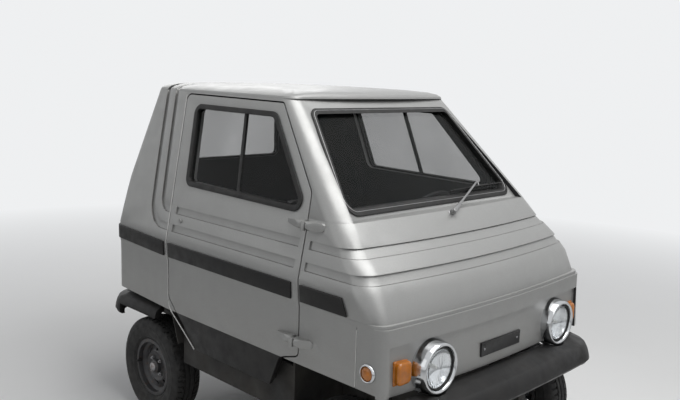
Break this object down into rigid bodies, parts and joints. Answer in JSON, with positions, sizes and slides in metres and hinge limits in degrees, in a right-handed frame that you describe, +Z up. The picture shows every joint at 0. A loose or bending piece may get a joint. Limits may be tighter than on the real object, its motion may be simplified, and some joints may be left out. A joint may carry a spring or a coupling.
{
  "type": "two-seat electric microcar",
  "caption": "Short two-seat wedge-nosed microcar with hinged doors, steered front wheels, free-rolling wheels, bumpers and a hollow glazed cabin.",
  "frame": {"origin": "on the ground, midway between the outer faces of the two bumpers", "axes": "+X forward, +Y to the car's left, +Z up"},
  "size_m": [2.06, 1.4196, 1.621],
  "materials": {
    "silver_paint": "silver metallic paint on moulded panels",
    "black_plastic": "black moulded plastic",
    "window_rubber": "black rubber",
    "clear_glass": "clear safety glass",
    "tyre_rubber": "worn black tyre rubber",
    "wheel_paint": "dark grey painted steel",
    "bare_steel": "dull forged steel",
    "cast_alloy": "cast alloy",
    "battery_case": "black battery cases",
    "underbody_black": "black chassis paint",
    "seat_vinyl": "black vinyl",
    "dash_plastic": "black grained plastic",
    "lamp_chrome": "chromed ring and clear lens",
    "amber_lens": "amber lens",
    "red_lens": "red lens",
    "plate_black": "blank black plate"
  },
  "bodies": {
    "body": {"cabin_shell": "silver_paint", "bonnet": "silver_paint", "nose_panel": "silver_paint", "tail_panel": "silver_paint", "roof": "silver_paint", "left_seat": "seat_vinyl", "right_seat": "seat_vinyl", "body_strips": "black_plastic", "windscreen": "clear_glass", "rear_window": "clear_glass", "window_rubbers": "window_rubber", "floor_pan": "underbody_black", "front_bumper": "black_plastic", "rear_bumper": "black_plastic", "chassis_frame": "underbody_black", "front_suspension": "underbody_black", "rear_axle": "bare_steel", "motor": "cast_alloy", "batteries": "battery_case", "dashboard": "dash_plastic", "steering_column": "dash_plastic", "headlamps": "lamp_chrome", "indicators": "amber_lens", "tail_lamps": "red_lens", "number_plates": "plate_black", "wiper": "black_plastic"},
    "left_door": {"left_door_panel": "silver_paint", "left_door_trim": "black_plastic", "left_door_rubber": "window_rubber", "left_door_glass": "clear_glass", "left_door_fittings": "silver_paint"},
    "right_door": {"right_door_panel": "silver_paint", "right_door_trim": "black_plastic", "right_door_rubber": "window_rubber", "right_door_glass": "clear_glass", "right_door_fittings": "silver_paint"},
    "left_steered": {"left_knuckle": "bare_steel"},
    "right_steered": {"right_knuckle": "bare_steel"},
    "steering_hand_wheel": {"steering_wheel": "dash_plastic"},
    "front_left_wheel": {"front_left_tyre": "tyre_rubber", "front_left_rim": "wheel_paint"},
    "front_right_wheel": {"front_right_tyre": "tyre_rubber", "front_right_rim": "wheel_paint"},
    "rear_left_wheel": {"rear_left_tyre": "tyre_rubber", "rear_left_rim": "wheel_paint"},
    "rear_right_wheel": {"rear_right_tyre": "tyre_rubber", "rear_right_rim": "wheel_paint"}
  },
  "joints": [
    {"name": "left_steering", "type": "hinge", "parent": "body", "child": "left_steered", "pos_m": [0.655, 0.455, 0.245], "axis": [0, 0, 1], "range_deg": [-28, 28]},
    {"name": "right_steering", "type": "hinge", "parent": "body", "child": "right_steered", "pos_m": [0.655, -0.455, 0.245], "axis": [0, 0, 1], "range_deg": [-28, 28]},
    {"name": "hand_wheel_turn", "type": "hinge", "parent": "body", "child": "steering_hand_wheel", "pos_m": [0.28724, 0.255, 1.0042], "axis": [-0.8829, 0, 0.4695], "range_deg": [-340, 340]},
    {"name": "left_door_swing", "type": "hinge", "parent": "body", "child": "left_door", "pos_m": [0.46, 0.699, 0.695], "axis": [0, 0.1006, -0.9949], "range_deg": [0, 62]},
    {"name": "right_door_swing", "type": "hinge", "parent": "body", "child": "right_door", "pos_m": [0.46, -0.699, 0.695], "axis": [0, 0.1006, 0.9949], "range_deg": [0, 62]},
    {"name": "front_left_roll", "type": "hinge", "parent": "left_steered", "child": "front_left_wheel", "pos_m": [0.655, 0.5605, 0.245], "axis": [0, 1, 0], "continuous": true},
    {"name": "front_right_roll", "type": "hinge", "parent": "right_steered", "child": "front_right_wheel", "pos_m": [0.655, -0.5605, 0.245], "axis": [0, 1, 0], "continuous": true},
    {"name": "rear_left_roll", "type": "hinge", "parent": "body", "child": "rear_left_wheel", "pos_m": [-0.645, 0.5605, 0.245], "axis": [0, 1, 0], "continuous": true},
    {"name": "rear_right_roll", "type": "hinge", "parent": "body", "child": "rear_right_wheel", "pos_m": [-0.645, -0.5605, 0.245], "axis": [0, 1, 0], "continuous": true}
  ],
  "couplings": [
    {"joint": "right_steering", "follows": "left_steering", "ratio": 1},
    {"joint": "hand_wheel_turn", "follows": "left_steering", "ratio": 12}
  ]
}
